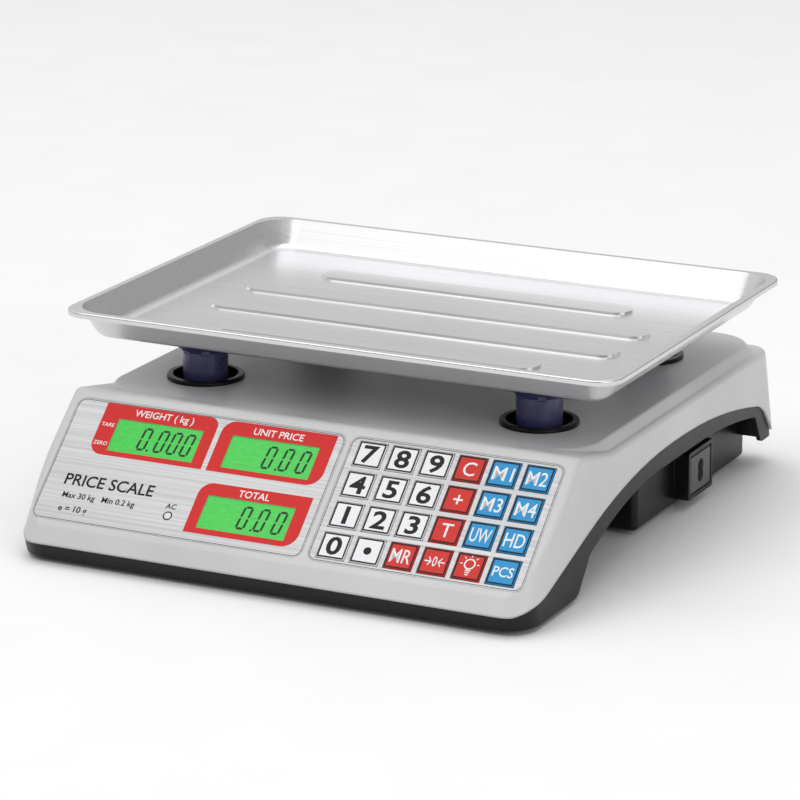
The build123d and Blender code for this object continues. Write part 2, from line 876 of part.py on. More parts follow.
export_step(lower_housing.part, "parts/lower_housing.step")


def driven_screws(places, seat, length):
    """Pan-head screws driven upwards, with a cross in each head."""
    with BuildPart() as screws:
        with BuildSketch(Plane.XY.offset(seat - screw_head_height)):
            with Locations(*places):
                Circle(screw_head_radius)
        extrude(amount=screw_head_height)
        fillet(screws.edges().group_by(Axis.Z)[0], 0.7)
        with BuildSketch(Plane.XY.offset(seat)):
            with Locations(*places):
                Circle(screw_radius)
        extrude(amount=length)
        with BuildSketch(Plane.XY.offset(seat - screw_head_height)):
            with Locations(*places):
                Rectangle(3.6, 0.8)
                Rectangle(0.8, 3.6)
        extrude(amount=1.0, mode=Mode.SUBTRACT)
    return screws.part


with BuildPart() as housing_screws:
    add(driven_screws(screw_places, screw_base_z, screw_length))
    add(driven_screws(mount_screw_places, skirt_z, wall + mount_flange))
housing_screws.part.label = "housing_screws"
export_step(housing_screws.part, "parts/housing_screws.step")

# ---------------------------------------------------------------------------------------------------
# Front panel: labels, displays, lamp and keys
# ---------------------------------------------------------------------------------------------------

with BuildPart() as display_label:
    with BuildSketch(panel_plane.offset(-label_recess)):
        with Locations((display_middle, -label_middle_down)):
            RectangleRounded(
                display_width - 2 * label_gap, label_height - 2 * label_gap, label_corner - label_gap
            )
        with Locations(*windows.values()):
            Rectangle(window_width, window_height, mode=Mode.SUBTRACT)
        with Locations(lamp_place):
            Circle(lamp_radius + screw_slip, mode=Mode.SUBTRACT)
    extrude(amount=label_thickness)
display_label.part.label = "display_label"
export_step(display_label.part, "parts/display_label.step")

with BuildPart() as keypad_label:
    with BuildSketch(panel_plane.offset(-label_recess)):
        with Locations((keypad_middle, -label_middle_down)):
            RectangleRounded(
                keypad_width - 2 * label_gap, label_height - 2 * label_gap, label_corner - label_gap
            )
        with Locations(*key_places):
            Rectangle(key_hole_x, key_hole_y, mode=Mode.SUBTRACT)
    extrude(amount=label_thickness)
keypad_label.part.label = "keypad_label"
export_step(keypad_label.part, "parts/keypad_label.step")


def display_module(plane, places):
    """Display modules under a plane: a body in the housing's opening and a glass inside its border."""
    with BuildPart() as modules:
        with BuildSketch(plane.offset(-lcd_back)):
            with Locations(*places):
                Rectangle(lcd_width, lcd_height)
        extrude(amount=lcd_thickness - glass_step)
        with BuildSketch(plane.offset(-label_recess - glass_step)):
            with Locations(*places):
                Rectangle(lcd_width - 2 * glass_step, lcd_height - 2 * glass_step)
        extrude(amount=glass_step)
    return modules.part


for module_name, module_place in windows.items():
    module = display_module(panel_plane, [module_place])
    module.label = module_name
    export_step(module, f"parts/{module_name}.step")

with BuildPart() as display_board:
    with BuildSketch(panel_plane.offset(-lcd_back - board_thickness)):
        with Locations((display_middle + 2.5, -label_middle_down)):
            RectangleRounded(display_width - 9, label_height - 4, 3.0)
    extrude(amount=board_thickness)
    with BuildSketch(panel_plane.offset(-lcd_back - board_thickness - 2)):
        with Locations(*windows.values()):
            Rectangle(18, 8)
        with Locations((display_left + 20, -label_middle_down)):
            Rectangle(6, 24)
    extrude(amount=2)
display_board.part.label = "display_board"
export_step(display_board.part, "parts/display_board.step")

with BuildPart() as ac_lamp:
    with BuildSketch(panel_plane.offset(-lcd_back)):
        with Locations(lamp_place):
            Circle(lamp_radius)
    extrude(amount=lcd_back + 0.3)
    fillet(ac_lamp.edges().sort_by(panel_normal)[-1], 1.2)
    with BuildSketch(panel_plane.offset(-lcd_back)):
        with Locations(lamp_place):
            Circle(lamp_radius + 0.6)
    extrude(amount=1.0)
ac_lamp.part.label = "ac_lamp"
export_step(ac_lamp.part, "parts/ac_lamp.step")

with BuildPart() as keypad_circuit:
    with BuildSketch(panel_plane.offset(-key_board_top - board_thickness)):
        with Locations((keypad_middle, -label_middle_down)):
            RectangleRounded(keypad_width - 1, label_height - 5, 3.0)
    extrude(amount=board_thickness)
    with BuildSketch(panel_plane.offset(-key_board_top)):
        with Locations(*key_places):
            Circle(5.0)
    extrude(amount=0.2, taper=30)
keypad_circuit.part.label = "keypad_circuit"
export_step(keypad_circuit.part, "parts/keypad_circuit.step")

for key_name, key_place in zip(key_names, key_places):
    with BuildPart() as key:
        with BuildSketch(panel_plane.offset(-wall - slip - key_lip_thickness)):
            with Locations(key_place):
                RectangleRounded(key_hole_x + 2 * key_lip, key_hole_y + 2 * key_lip, 1.0)
        extrude(amount=key_lip_thickness)
        with BuildSketch(panel_plane.offset(-wall - slip)):
            with Locations(key_place):
                RectangleRounded(key_hole_x - 2 * key_gap, key_hole_y - 2 * key_gap, 0.8)
        extrude(amount=wall + slip - label_recess + label_thickness + key_proud)
        fillet(key.faces().sort_by(panel_normal)[-1].edges(), 0.4)
        with BuildSketch(panel_plane.offset(-key_stem_end)):
            with Locations(key_place):
                Circle(3.0)
        extrude(amount=key_stem_end - wall - slip - key_lip_thickness)
    key.part.label = f"key_{key_name}"
    export_step(key.part, f"parts/key_{key_name}.step")

# ---------------------------------------------------------------------------------------------------
# Rear displays
# ---------------------------------------------------------------------------------------------------

with BuildPart() as rear_window:
    with BuildSketch(rear_plane.offset(-label_recess)):
        RectangleRounded(
            rear_label_width - 2 * label_gap, rear_label_height - 2 * label_gap, label_corner - label_gap
        )
        with Locations(*rear_window_places):
            Rectangle(window_width, window_height, mode=Mode.SUBTRACT)
    extrude(amount=label_thickness)
rear_window.part.label = "rear_window"
export_step(rear_window.part, "parts/rear_window.step")

with BuildPart() as rear_lcd:
    add(display_module(rear_plane, rear_window_places))
    with BuildSketch(rear_plane.offset(-lcd_back - board_thickness)):
        RectangleRounded(rear_label_width, lcd_height + 4, 2.0)
    extrude(amount=board_thickness)
rear_lcd.part.label = "rear_lcd"
export_step(rear_lcd.part, "parts/rear_lcd.step")

# ---------------------------------------------------------------------------------------------------
# Mains inlet and switch
# ---------------------------------------------------------------------------------------------------


def plate_insert(side):
    """The block that fills a side plate's frame, with a lip inside the tray wall."""
    with BuildPart() as insert:
        with BuildSketch(Plane.XY.offset(insert_z - insert_height / 2)):
            with Locations((side * (insert_face_x + insert_back_x) / 2, insert_y)):
                Rectangle(insert_face_x - insert_back_x, insert_length)
        extrude(amount=insert_height)
        fillet(insert.faces().sort_by(Axis.X)[-1 if side > 0 else 0].edges(), 0.5)
        lip_x = tray_half_width - wall - insert_lip / 2
        with BuildSketch(Plane.XY.offset(plate_z - plate_height / 2 + 1)):
            with Locations((side * lip_x, plate_y)):
                Rectangle(insert_lip, plate_length)
        extrude(amount=plate_height - 2)
    return insert.part


def side_cylinders(radius, near, far, offsets):
    """Round bars across the right plate, stacked about the middle of its insert."""
    with BuildPart() as bars:
        with BuildSketch(Plane.YZ.offset(near)):
            for lift in offsets:
                with Locations((insert_y, insert_z + lift)):
                    Circle(radius)
        extrude(amount=far - near)
    return bars.part


inlet_lobes = (-inlet_lobe_pitch / 2, inlet_lobe_pitch / 2)
inlet_floor_x = insert_face_x - inlet_depth

with BuildPart() as power_inlet:
    add(plate_insert(1))
    add(side_cylinders(inlet_lobe_radius, inlet_floor_x, plate_face_x, inlet_lobes), mode=Mode.SUBTRACT)
    add(side_cylinders(pin_radius, insert_back_x - 1, inlet_floor_x, inlet_lobes), mode=Mode.SUBTRACT)
power_inlet.part.label = "power_inlet"
export_step(power_inlet.part, "parts/power_inlet.step")

with BuildPart() as inlet_pins:
    add(side_cylinders(pin_radius, insert_back_x - pin_tail, insert_face_x - pin_setback, inlet_lobes))
    fillet(inlet_pins.edges().group_by(Axis.X)[-1], 0.6)
inlet_pins.part.label = "inlet_pins"
export_step(inlet_pins.part, "parts/inlet_pins.step")

rocker_pivot_x = -insert_face_x + rocker_pivot_depth
rocker_reach = rocker_length / 2

with BuildPart() as switch_frame:
    add(plate_insert(-1))
    with BuildSketch(Plane.XY.offset(insert_z - rocker_height / 2 - slip)):
        with Locations((rocker_pivot_x, insert_y)):
            Rectangle(2 * rocker_pivot_depth + 6, rocker_length + 2 * rocker_clearance)
    extrude(amount=rocker_height + 2 * slip, mode=Mode.SUBTRACT)
    with BuildSketch(Plane.XY.offset(insert_z - rocker_height / 2 - slip - 1.5)):
        with Locations((rocker_pivot_x, insert_y)):
            Circle(axle_radius + screw_slip)
    extrude(amount=rocker_height + 2 * slip + 3, mode=Mode.SUBTRACT)
switch_frame.part.label = "switch_frame"
export_step(switch_frame.part, "parts/switch_frame.step")

with BuildPart() as power_rocker:
    with BuildSketch(Plane((rocker_pivot_x, insert_y, insert_z - rocker_height / 2))):
        with BuildLine():
            Polyline(
                (-rocker_pivot_depth - 2.2, -rocker_reach),
                (-rocker_pivot_depth - 0.4, 0),
                (-rocker_pivot_depth - 2.2, rocker_reach),
                (1.5, rocker_reach - 0.6),
                (3.0, 2.6),
                (3.0, -2.6),
                (1.5, 0.6 - rocker_reach),
                close=True,
            )
        make_face()
    extrude(amount=rocker_height)
    fillet(power_rocker.edges().filter_by(Axis.Z), 0.5)
    with BuildSketch(Plane((rocker_pivot_x, insert_y, insert_z - rocker_height / 2 - 1.2))):
        Circle(axle_radius)
    extrude(amount=rocker_height + 2.4)
rocker_axis = Axis((rocker_pivot_x, insert_y, 0), (0, 0, 1))
rocker_at_rest = power_rocker.part.rotate(rocker_axis, -rocker_tilt)
rocker_at_rest.label = "power_rocker"
export_step(rocker_at_rest, "parts/power_rocker.step")

# ---------------------------------------------------------------------------------------------------
# Levelling feet
# ---------------------------------------------------------------------------------------------------

for corner, (corner_x, corner_y) in foot_places.items():
    with BuildPart() as foot:
        with BuildSketch():
            with Locations((corner_x, corner_y)):
                Circle(foot_radius)
        extrude(amount=foot_pad_height)
        fillet(foot.edges().group_by(Axis.Z)[0], 1.0)
        fillet(foot.edges().group_by(Axis.Z)[-1], 0.5)
        with BuildSketch(Plane.XY.offset(1.5)):
            with Locations((corner_x, corner_y)):
                with PolarLocations(foot_radius + 0.3, 18):
                    Circle(1.1)
        extrude(amount=foot_pad_height, mode=Mode.SUBTRACT)
        with BuildSketch(Plane.XY.offset(foot_pad_height)):
            with Locations((corner_x, corner_y)):
                Circle(foot_stud_radius)
        extrude(amount=foot_stud_top - foot_pad_height)
        fillet(foot.edges().group_by(Axis.Z)[-1], 0.6)
    foot.part.label = f"levelling_foot_{corner}"
    export_step(foot.part, f"parts/levelling_foot_{corner}.step")

# ---------------------------------------------------------------------------------------------------
# Load cell, its mount, the platform frame and their bolts
# ---------------------------------------------------------------------------------------------------

with BuildPart() as load_cell:
    with BuildSketch(Plane.XY.offset(cell_base_z)):
        with Locations((0, pan_y)):
            Rectangle(cell_length, cell_width)
    extrude(amount=cell_height)
    fillet(load_cell.edges().filter_by(Axis.Y), 1.0)
    with BuildSketch(Plane.XZ.offset(-pan_y)):
        for x in (-8.5, 8.5):
            with Locations((x, (cell_base_z + cell_top_z) / 2)):
                Circle(8.6)
        with Locations((0, (cell_base_z + cell_top_z) / 2)):
            Rectangle(17, 5)
    extrude(amount=cell_width, both=True, mode=Mode.SUBTRACT)
    with BuildSketch(Plane.XY.offset(cell_base_z - 1)):
        with Locations(*fixed_bolt_places):
            Circle(bolt_radius + screw_slip / 2)
    extrude(amount=bolt_bite + 2, mode=Mode.SUBTRACT)
    with BuildSketch(Plane.XY.offset(cell_top_z - bolt_bite - 1)):
        with Locations(*free_bolt_places):
            Circle(bolt_radius + screw_slip / 2)
    extrude(amount=bolt_bite + 2, mode=Mode.SUBTRACT)
load_cell.part.label = "load_cell"
export_step(load_cell.part, "parts/load_cell.step")

with BuildPart() as load_cell_mount:
    with BuildSketch(Plane.XY.offset(tray_floor_z)):
        with Locations((cell_fixed_x, pan_y)):
            RectangleRounded(cell_end + 2 * mount_flange_reach, cell_width, 2.0)
    extrude(amount=mount_flange)
    with BuildSketch(Plane.XY.offset(tray_floor_z)):
        with Locations((cell_fixed_x, pan_y)):
            RectangleRounded(cell_end, cell_width, 1.0)
    extrude(amount=cell_base_z - tray_floor_z)
    with BuildSketch():
        with Locations(*fixed_bolt_places):
            Circle(bolt_access_radius)
    extrude(amount=cell_base_z - bolt_ledge, mode=Mode.SUBTRACT)
    with BuildSketch():
        with Locations(*fixed_bolt_places):
            Circle(bolt_radius + screw_slip)
        with Locations(*mount_screw_places):
            Circle(screw_radius + screw_slip)
    extrude(amount=cell_base_z + 1, mode=Mode.SUBTRACT)
load_cell_mount.part.label = "load_cell_mount"
export_step(load_cell_mount.part, "parts/load_cell_mount.step")


def socket_bolts(name, places, seat, way, length):
    """Socket-head bolts from a seat, pointing up (way 1) or down (way -1)."""
    with BuildPart() as bolts:
        with BuildSketch(Plane.XY.offset(seat)):
            with Locations(*places):
                Circle(bolt_head_radius)
        extrude(amount=-way * bolt_head_height)
        with BuildSketch(Plane.XY.offset(seat)):
            with Locations(*places):
                Circle(bolt_radius)
        extrude(amount=way * length)
        with BuildSketch(Plane.XY.offset(seat - way * bolt_head_height)):
            with Locations(*places):
                RegularPolygon(2.6, 6)
        extrude(amount=way * 3.0, mode=Mode.SUBTRACT)
    bolts.part.label = name
    export_step(bolts.part, f"parts/{name}.step")


socket_bolts("load_cell_bolts", fixed_bolt_places, cell_base_z - bolt_ledge, 1, bolt_ledge + bolt_bite)

with BuildPart() as pan_frame:
    arm_turn = math.degrees(math.atan2(post_rear_y - pan_y, post_x))
    arm_length = 2 * math.hypot(post_x, post_rear_y - pan_y)
    with BuildSketch(Plane.XY.offset(frame_base_z)):
        with Locations((0, pan_y)):
            RectangleRounded(2 * (cell_free_x + 25), cell_width + 14, 6.0)
            for turn in (-arm_turn, arm_turn):
                with Locations(Location((0, 0, 0), turn)):
                    Rectangle(arm_length, frame_arm_width)
        with Locations(*post_places.values()):
            Circle(frame_pad_radius)
    extrude(amount=frame_thickness)
    with BuildSketch(Plane.XY.offset(cell_top_z)):
        with Locations((cell_free_x, pan_y)):
            RectangleRounded(cell_end, cell_width, 1.0)
    extrude(amount=cell_spacer)
    with BuildSketch(Plane.XY.offset(cell_top_z - 1)):
        with Locations(*post_places.values()):
            Circle(spigot_radius + screw_slip / 2)
        with Locations(*free_bolt_places):
            Circle(bolt_radius + screw_slip)
    extrude(amount=frame_top_z - cell_top_z + 2, mode=Mode.SUBTRACT)
pan_frame.part.label = "pan_frame"
export_step(pan_frame.part, "parts/pan_frame.step")

socket_bolts("pan_frame_bolts", free_bolt_places, frame_top_z, -1, frame_top_z - cell_top_z + bolt_bite)

# ---------------------------------------------------------------------------------------------------
# Battery and door, transformer and main board
# ---------------------------------------------------------------------------------------------------

with BuildPart() as battery:
    with BuildSketch(Plane.XY.offset(battery_base_z)):
        with Locations((battery_x, battery_y)):
            RectangleRounded(battery_length, battery_width, 2.0)
    extrude(amount=battery_height - battery_cap)
    with BuildSketch(Plane.XY.offset(battery_base_z + battery_height - battery_cap)):
        with Locations((battery_x, battery_y)):
            RectangleRounded(battery_length - battery_cap, battery_width - battery_cap, 1.5)
    extrude(amount=battery_cap)
    with BuildSketch(Plane.XY.offset(battery_base_z + battery_height)):
        with Locations((battery_x - battery_tab_x, battery_y), (battery_x + battery_tab_x, battery_y)):
            Rectangle(*battery_tab)
    extrude(amount=battery_cap)
battery.part.label = "battery"
export_step(battery.part, "parts/battery.step")

with BuildPart() as battery_door:
    with BuildSketch(Plane.XY.offset(door_base_z)):
        with Locations((battery_x, battery_y)):
            RectangleRounded(
                battery_length + 2 * (door_rim - slip), battery_width + 2 * (door_rim - slip), 1.0
            )
    extrude(amount=door_thickness)
    with BuildSketch(Plane.XY.offset(door_base_z)):
        with Locations(*[(battery_x + 0.4 * battery_length, battery_y + row * 4) for row in range(-2, 3)]):
            SlotOverall(12, 1.6)
    extrude(amount=0.6, mode=Mode.SUBTRACT)
battery_door.part.label = "battery_door"
export_step(battery_door.part, "parts/battery_door.step")

with BuildPart() as transformer:
    with BuildSketch(Plane.XY.offset(tray_floor_z)):
        with Locations((transformer_x, transformer_y)):
            RectangleRounded(strap_length, core_width, 3.0)
    extrude(amount=strap_thickness)
    with BuildSketch(Plane.XY.offset(tray_floor_z)):
        with Locations((transformer_x, transformer_y)):
            Rectangle(core_length, core_width)
    extrude(amount=core_height)
    with BuildSketch(Plane.XY.offset(tray_floor_z + winding_lift)):
        with Locations((transformer_x, transformer_y)):
            RectangleRounded(winding_length, winding_width, 3.0)
    extrude(amount=winding_height)
    with BuildSketch(Plane.XY.offset(tray_floor_z - 1)):
        with Locations(*[(transformer_x + side * strap_hole_x, transformer_y) for side in (-1, 1)]):
            Circle(strap_hole_radius)
    extrude(amount=2 * strap_thickness, mode=Mode.SUBTRACT)
transformer.part.label = "transformer"
export_step(transformer.part, "parts/transformer.step")

with BuildPart() as main_board:
    with BuildSketch(Plane.XY.offset(screw_seat_z + board_lift)):
        with Locations((0, board_y)):
            RectangleRounded(board_length, board_width, 2.0)
    extrude(amount=board_thickness)
    with BuildSketch(Plane.XY.offset(screw_seat_z + board_lift + board_thickness)):
        for (x, y), size in chips:
            with Locations((x, board_y + y)):
                Rectangle(*size)
        with Locations(*[(x, board_y + plug_row_y) for x in plug_row_x]):
            Rectangle(*plug_size)
    extrude(amount=chip_height)
main_board.part.label = "main_board"
export_step(main_board.part, "parts/main_board.step")
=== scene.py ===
"""Looks for the counter-top price computing scale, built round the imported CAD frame."""

import json
import math

import bmesh
import bpy
from mathutils import Matrix, Vector


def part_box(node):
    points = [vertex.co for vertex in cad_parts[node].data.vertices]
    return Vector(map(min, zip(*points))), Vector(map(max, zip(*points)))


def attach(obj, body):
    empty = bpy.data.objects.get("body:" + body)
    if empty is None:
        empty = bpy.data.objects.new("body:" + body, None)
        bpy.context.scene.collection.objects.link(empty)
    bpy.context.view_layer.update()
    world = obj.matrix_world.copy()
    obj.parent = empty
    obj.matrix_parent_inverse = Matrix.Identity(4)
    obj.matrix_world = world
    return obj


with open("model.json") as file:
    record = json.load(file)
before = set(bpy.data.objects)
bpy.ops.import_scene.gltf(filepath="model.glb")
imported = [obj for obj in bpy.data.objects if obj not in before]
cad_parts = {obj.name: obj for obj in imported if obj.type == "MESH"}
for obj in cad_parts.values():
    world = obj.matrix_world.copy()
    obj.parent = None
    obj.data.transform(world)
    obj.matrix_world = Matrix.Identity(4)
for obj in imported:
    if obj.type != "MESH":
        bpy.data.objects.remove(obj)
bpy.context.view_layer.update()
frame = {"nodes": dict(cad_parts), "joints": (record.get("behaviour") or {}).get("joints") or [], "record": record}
nodes = frame["nodes"]
MM = 0.001

# ---------------------------------------------------------------------------------------------------
# Node helpers
# ---------------------------------------------------------------------------------------------------


class Tree:
    """A material's node tree with short calls for what the finishes below need."""

    def __init__(self, name):
        self.material = bpy.data.materials.new(name)
        self.material.use_nodes = True
        self.nodes = self.material.node_tree.nodes
        self.links = self.material.node_tree.links
        self.shader = self.nodes["Principled BSDF"]
        self.coords = self.nodes.new("ShaderNodeTexCoord").outputs["Object"]

    def link(self, source, target):
        self.links.new(source, target)

    def stretched(self, scale):
        """Object coordinates, in metres, scaled differently along X, Y and Z."""
        mapping = self.nodes.new("ShaderNodeMapping")
        mapping.inputs["Scale"].default_value = scale
        self.link(self.coords, mapping.inputs["Vector"])
        return mapping.outputs["Vector"]

    def noise(self, scale, detail=3.0, vector=None):
        noise = self.nodes.new("ShaderNodeTexNoise")
        noise.inputs["Scale"].default_value = scale
        noise.inputs["Detail"].default_value = detail
        self.link(vector or self.coords, noise.inputs["Vector"])
        return noise.outputs["Fac"]

    def ramp(self, factor, low, high, start=0.3, end=0.7):
        """Two colours spread over a factor."""
        ramp = self.nodes.new("ShaderNodeValToRGB")
        ramp.color_ramp.elements[0].position = start
        ramp.color_ramp.elements[1].position = end
        ramp.color_ramp.elements[0].color = (*low, 1)
        ramp.color_ramp.elements[1].color = (*high, 1)
        self.link(factor, ramp.inputs["Fac"])
        return ramp.outputs["Color"]

    def spread(self, factor, low, high):
        """A factor from 0 to 1 turned into a value between two limits."""
        spread = self.nodes.new("ShaderNodeMapRange")
        spread.inputs["To Min"].default_value = low
        spread.inputs["To Max"].default_value = high
        self.link(factor, spread.inputs["Value"])
        return spread.outputs["Result"]

    def bump(self, height, strength, distance, rounding=0.0):
        """Relief from a height, over edges softened by the given radius in metres."""
        bump = self.nodes.new("ShaderNodeBump")
        bump.inputs["Strength"].default_value = strength
        bump.inputs["Distance"].default_value = distance
        self.link(height, bump.inputs["Height"])
        if rounding:
            bevel = self.nodes.new("ShaderNodeBevel")
            bevel.samples = 6
            bevel.inputs["Radius"].default_value = rounding
            self.link(bevel.outputs["Normal"], bump.inputs["Normal"])
        self.link(bump.outputs["Normal"], self.shader.inputs["Normal"])


def shade(colour, factor):
    return tuple(min(1.0, part * factor) for part in colour)


def plastic(name, colour, roughness=0.4, grain=0.12, rounding=0.0, coat=0.0, drift=0.05, specular=0.5):
    """Moulded plastic: fine grain, faint drift of colour and gloss."""
    tree = Tree(name)
    drift_map = tree.noise(14.0, 2.0)
    tree.link(
        tree.ramp(drift_map, shade(colour, 1 - drift), shade(colour, 1 + drift)),
        tree.shader.inputs["Base Color"],
    )
    tree.link(
        tree.spread(tree.noise(90.0, 4.0), roughness - 0.05, roughness + 0.07),
        tree.shader.inputs["Roughness"],
    )
    tree.shader.inputs["Specular IOR Level"].default_value = specular
    tree.shader.inputs["Coat Weight"].default_value = coat
    tree.shader.inputs["Coat Roughness"].default_value = 0.12
    tree.bump(tree.noise(2600.0, 2.0), grain, 0.00005, rounding)
    return tree.material


def brushed(name, colour, roughness, brush, strength, metallic=1.0, streak=0.09, rounding=0.0):
    """Metal brushed along X, with streaks in gloss, tone and relief."""
    tree = Tree(name)
    lines = tree.noise(1.0, 6.0, tree.stretched(brush))
    broad = tree.noise(9.0, 2.0)
    tone = tree.ramp(lines, shade(colour, 1 - streak), shade(colour, 1 + streak), 0.3, 0.7)
    tree.link(tone, tree.shader.inputs["Base Color"])
    mix = tree.nodes.new("ShaderNodeMath")
    mix.operation = "MULTIPLY_ADD"
    mix.inputs[1].default_value = 0.6
    tree.link(lines, mix.inputs[0])
    tree.link(tree.spread(broad, 0.0, 0.4), mix.inputs[2])
    tree.link(tree.spread(mix.outputs["Value"], roughness - 0.08, roughness + 0.12),
              tree.shader.inputs["Roughness"])
    tree.shader.inputs["Metallic"].default_value = metallic
    tree.shader.inputs["Anisotropic"].default_value = 0.5
    tree.bump(lines, strength, 0.00004, rounding)
    return tree.material


def flat_print(name, colour, roughness=0.45):
    """Printed ink or a display segment: nearly even, with a faint grain."""
    tree = Tree(name)
    tree.link(
        tree.ramp(tree.noise(700.0, 3.0), shade(colour, 0.93), shade(colour, 1.05)),
        tree.shader.inputs["Base Color"],
    )
    tree.shader.inputs["Roughness"].default_value = roughness
    tree.shader.inputs["Specular IOR Level"].default_value = 0.25
    return tree.material


def display_glass(name, colour):
    """A back-lit display: green ground, a faint cell pattern and a glossy face."""
    tree = Tree(name)
    cells = tree.noise(1.0, 2.0, tree.stretched((240.0, 900.0, 900.0)))
    ground = tree.ramp(cells, shade(colour, 0.88), shade(colour, 1.06))
    tree.link(ground, tree.shader.inputs["Base Color"])
    tree.link(ground, tree.shader.inputs["Emission Color"])
    tree.shader.inputs["Emission Strength"].default_value = 0.22
    tree.link(tree.spread(tree.noise(60.0, 2.0), 0.16, 0.26), tree.shader.inputs["Roughness"])
    tree.bump(tree.noise(500.0, 2.0), 0.05, 0.00002)
    return tree.material


HOUSING = plastic("housing_grey", (0.59, 0.59, 0.595), 0.34, 0.10, rounding=0.0018)
BASE = plastic("base_black", (0.004, 0.004, 0.0045), 0.36, 0.16, rounding=0.0008, specular=0.3)
COLLAR = plastic("collar_black", (0.003, 0.003, 0.0035), 0.3, 0.08, rounding=0.0004, specular=0.25)
POST = plastic("post_violet", (0.045, 0.045, 0.13), 0.26, 0.12, rounding=0.0006, specular=0.6)
PAN = brushed("pan_steel", (0.68, 0.68, 0.69), 0.22, (3.0, 900.0, 900.0), 0.05, 1.0, 0.05)
LABEL = brushed("label_silver", (0.55, 0.55, 0.56), 0.36, (4.0, 700.0, 700.0), 0.05, 0.3, 0.17)
KEY_WHITE = plastic("key_white", (0.80, 0.80, 0.82), 0.3, 0.05, rounding=0.0004, coat=0.3)
KEY_RED = plastic("key_red", (0.62, 0.022, 0.014), 0.4, 0.05, rounding=0.0004, specular=0.3)
KEY_BLUE = plastic("key_blue", (0.016, 0.29, 0.62), 0.4, 0.05, rounding=0.0004, specular=0.3)
DISPLAY = display_glass("display_green", (0.03, 0.50, 0.045))
BOARD = plastic("board_green", (0.02, 0.16, 0.06), 0.35, 0.1)
LAMP = plastic("lamp_clear", (0.72, 0.72, 0.70), 0.12, 0.03, coat=0.5)
INLET = plastic("inlet_dark", (0.07, 0.07, 0.073), 0.4, 0.14, rounding=0.0004)
PINS = brushed("pin_metal", (0.72, 0.64, 0.45), 0.28, (900.0, 60.0, 60.0), 0.05)
ROCKER = plastic("rocker_black", (0.01, 0.01, 0.011), 0.3, 0.06, rounding=0.0005)
RUBBER = plastic("foot_rubber", (0.02, 0.02, 0.021), 0.7, 0.4)
CAST = brushed("cast_frame", (0.46, 0.46, 0.47), 0.5, (120.0, 120.0, 120.0), 0.35)
CELL = brushed("cell_bar", (0.62, 0.62, 0.64), 0.34, (8.0, 700.0, 700.0), 0.1)
SCREW = brushed("screw_steel", (0.5, 0.5, 0.5), 0.32, (500.0, 500.0, 500.0), 0.1)
BATTERY = plastic("battery_case", (0.03, 0.03, 0.034), 0.5, 0.2)
CORE = brushed("transformer_core", (0.12, 0.10, 0.09), 0.55, (20.0, 20.0, 1400.0), 0.5, 0.4)
INK_BLACK = flat_print("ink_black", (0.005, 0.005, 0.006))
INK_RED = flat_print("ink_red", (0.64, 0.018, 0.016))
INK_WHITE = flat_print("ink_white", (0.86, 0.87, 0.88))
SEGMENT = flat_print("segment_dark", (0.008, 0.035, 0.012), 0.3)
FLOOR = plastic("floor_pale", (0.93, 0.93, 0.93), 0.7, 0.02, drift=0.01, specular=0.1)

by_slot = {
    "housing": HOUSING, "base": BASE, "collar": COLLAR, "post": POST, "pan": PAN, "label": LABEL,
    "key_white": KEY_WHITE, "key_red": KEY_RED, "key_blue": KEY_BLUE, "display": DISPLAY,
    "board": BOARD, "lamp": LAMP, "inlet": INLET, "pins": PINS, "rocker": ROCKER, "foot": RUBBER,
    "cell": CELL, "frame": CAST, "screw": SCREW, "battery": BATTERY, "transformer": CORE,
}
slot_of = {entry["node"]: entry["material_slot"] for entry in frame["record"]["subparts"]}
for name, node in nodes.items():
    for index in range(max(1, len(node.material_slots))):
        if index < len(node.material_slots):
            node.material_slots[index].material = by_slot[slot_of[name]]

# ---------------------------------------------------------------------------------------------------
# Panel coordinates: u across, v up the slope, h out of the face, all in metres
# ---------------------------------------------------------------------------------------------------

axis_of = {joint["name"]: Vector(joint["axis"]) for joint in frame["joints"]}


class Face:
    """A flat face of the object: its directions, and places on it read from CAD nodes."""

    def __init__(self, out, across):
        self.out = out.normalized()
        self.across = across.normalized()
        self.up = self.out.cross(self.across)

    def local(self, point):
        return Vector((point.dot(self.across), point.dot(self.up), point.dot(self.out)))

    def world(self, u, v, h):
        return self.across * u + self.up * v + self.out * h

    def top(self, name):
        """Left, right, low, high and height of a node's outermost face."""
        spots = [self.local(vertex.co) for vertex in nodes[name].data.vertices]
        height = max(spot.z for spot in spots)
        face = [spot for spot in spots if spot.z > height - 2e-5]
        across = [spot.x for spot in face]
        up = [spot.y for spot in face]
        return min(across), max(across), min(up), max(up), height


panel = Face(-axis_of["key_7_press"], Vector((1, 0, 0)))


def ink_mesh(name, face, height, thickness, outlines, material, body):
    """Thin printed shapes: each outline is a ring of corners, given with its inner ring or None."""
    mesh = bpy.data.meshes.new(name)
    work = bmesh.new()
    for outer, inner in outlines:
        low = [work.verts.new(face.world(u, v, height)) for u, v in outer]
        high = [work.verts.new(face.world(u, v, height + thickness)) for u, v in outer]
        count = len(outer)
        for i in range(count):
            j = (i + 1) % count
            work.faces.new((low[i], low[j], high[j], high[i]))
        if inner is None:
            work.faces.new(high)
            work.faces.new(list(reversed(low)))
            continue
        low_in = [work.verts.new(face.world(u, v, height)) for u, v in inner]
        high_in = [work.verts.new(face.world(u, v, height + thickness)) for u, v in inner]
        for i in range(count):
            j = (i + 1) % count
            work.faces.new((high_in[i], high_in[j], low_in[j], low_in[i]))
            work.faces.new((high[i], high[j], high_in[j], high_in[i]))
            work.faces.new((low[j], low[i], low_in[i], low_in[j]))
    bmesh.ops.recalc_face_normals(work, faces=work.faces)
    work.to_mesh(mesh)
    work.free()
    piece = bpy.data.objects.new(name, mesh)
    bpy.context.scene.collection.objects.link(piece)
    mesh.materials.append(material)
    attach(piece, body)
    return piece


